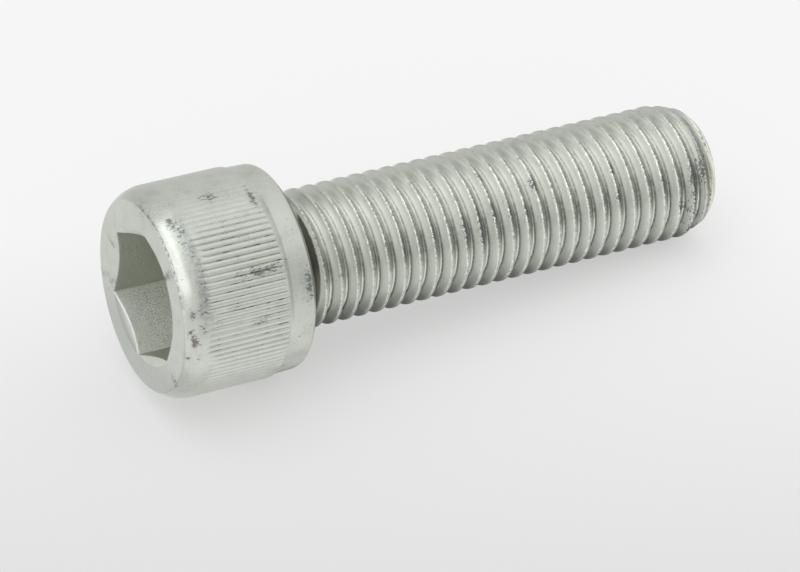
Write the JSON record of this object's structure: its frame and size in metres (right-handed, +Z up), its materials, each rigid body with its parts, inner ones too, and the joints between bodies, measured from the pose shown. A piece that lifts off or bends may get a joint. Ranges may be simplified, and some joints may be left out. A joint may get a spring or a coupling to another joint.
{
  "type": "socket head cap screw",
  "caption": "Cylindrical knurled head with a hexagon socket on a fully threaded shank, for clamping parts through a counterbored hole.",
  "frame": {"origin": "bottom centre of the bounding box, on the surface that the screw lies on", "axes": "+Z up; +X along the screw from the head to the tip, seen from above; the screw lies on a knurled ridge of its head and on the thread near its tip, so its axis falls by about 4.4 degrees towards the tip"},
  "size_m": [0.072, 0.0244, 0.025],
  "materials": {
    "zinc_flake_coating": "satin"
  },
  "bodies": {
    "root": {"socket_cap_screw": "zinc_flake_coating"}
  },
  "joints": []
}
